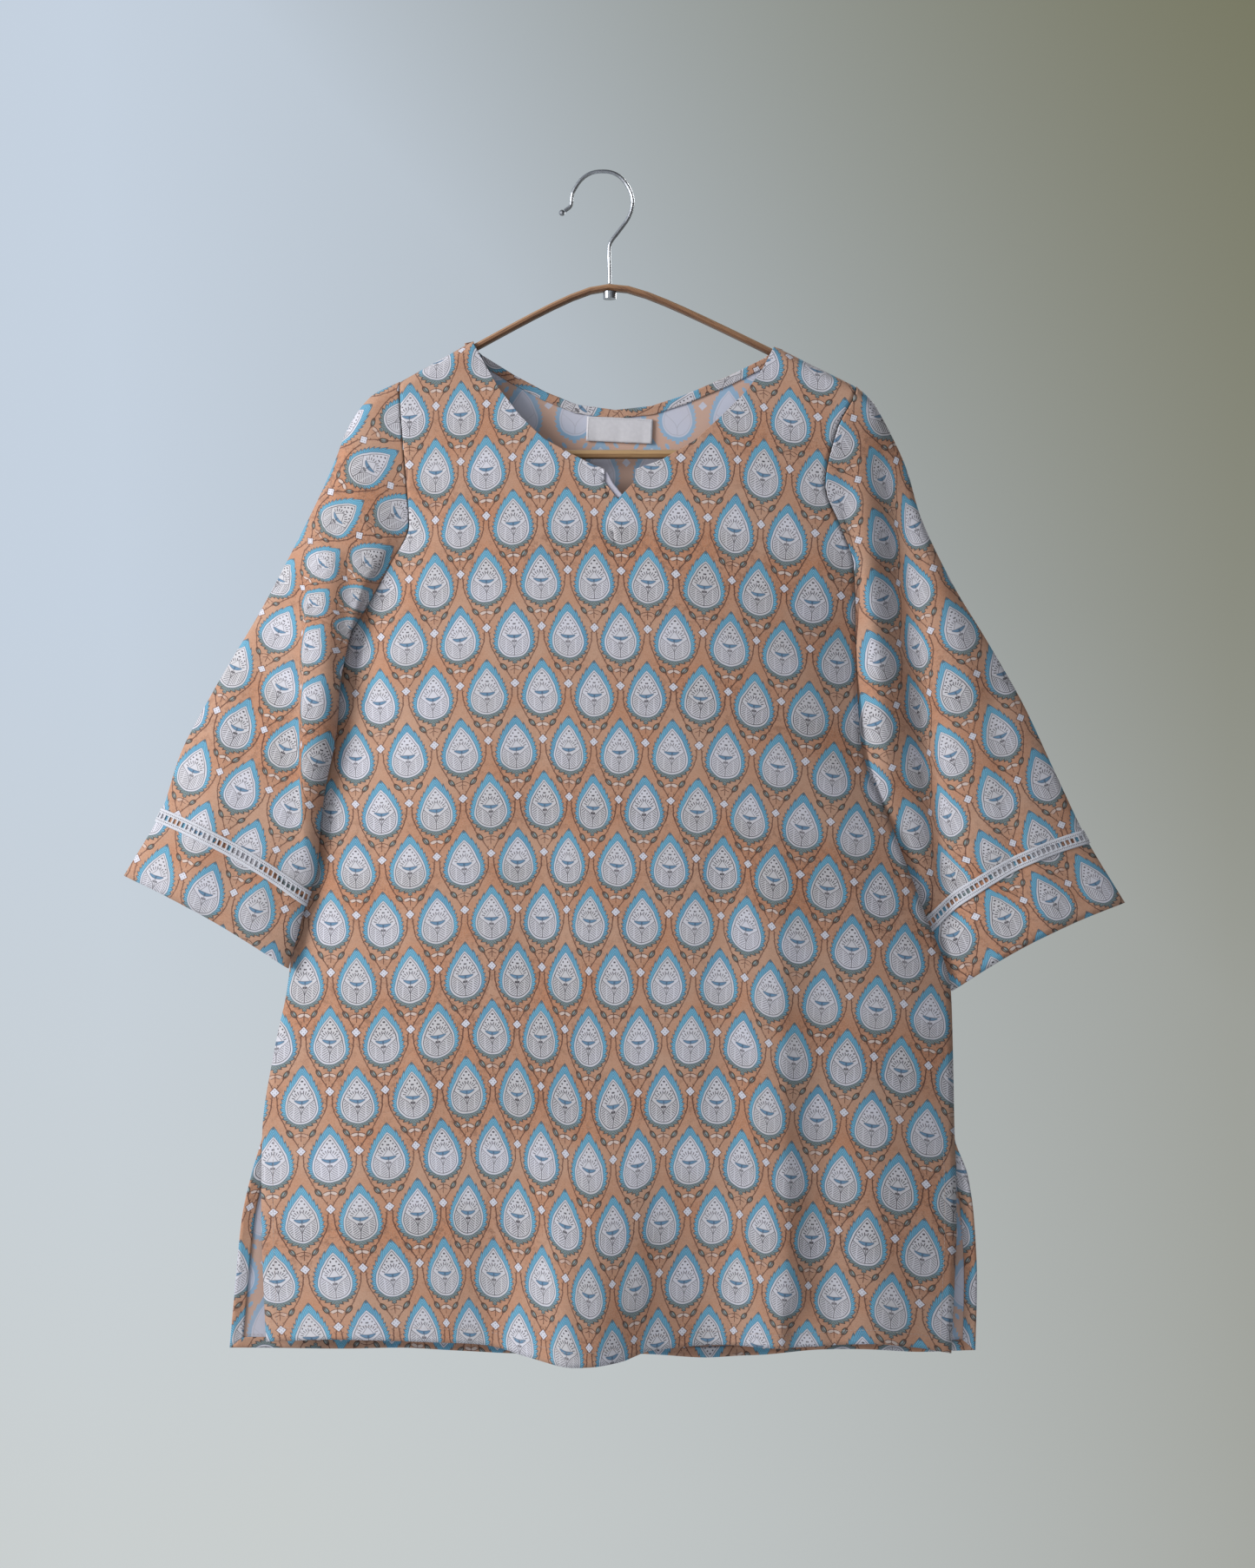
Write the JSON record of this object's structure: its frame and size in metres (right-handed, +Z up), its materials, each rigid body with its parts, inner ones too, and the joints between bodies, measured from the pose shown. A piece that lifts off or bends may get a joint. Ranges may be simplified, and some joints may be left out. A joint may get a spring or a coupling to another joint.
{
  "type": "kurta tunic on a hanger",
  "caption": "Block-printed cotton kurta tunic with three-quarter sleeves, lace bands, a notched neck and side vents, hung on a bent-wood hanger.",
  "frame": {"origin": "inner top of the hanger's hook, where a peg or rail holds it", "axes": "+Z up, +X to the viewer's right when facing the garment's front, +Y from the front towards the wall behind"},
  "size_m": [0.8162, 0.0968, 0.9717],
  "materials": {
    "printed_cotton": "matte",
    "printed_cotton_turned": "matte",
    "facing_cotton": "matte",
    "label_satin": "satin",
    "cotton_lace": "matte",
    "brown_wood": "satin",
    "honey_wood": "satin",
    "steel": "brushed"
  },
  "bodies": {
    "root": {"front_panel": "printed_cotton", "back_panel": "printed_cotton", "sleeve_left": "printed_cotton", "sleeve_right": "printed_cotton", "neck_band": "printed_cotton", "back_turned_edge": "printed_cotton_turned", "notch_facing": "facing_cotton", "label": "label_satin", "lace_sleeve_left_front": "cotton_lace", "lace_sleeve_left_back": "cotton_lace", "lace_sleeve_right_front": "cotton_lace", "lace_sleeve_right_back": "cotton_lace", "hanger_bar": "brown_wood", "hanger_crossbar": "honey_wood", "hanger_hook": "steel", "hook_ball": "steel", "hanger_nut": "steel"}
  },
  "joints": []
}
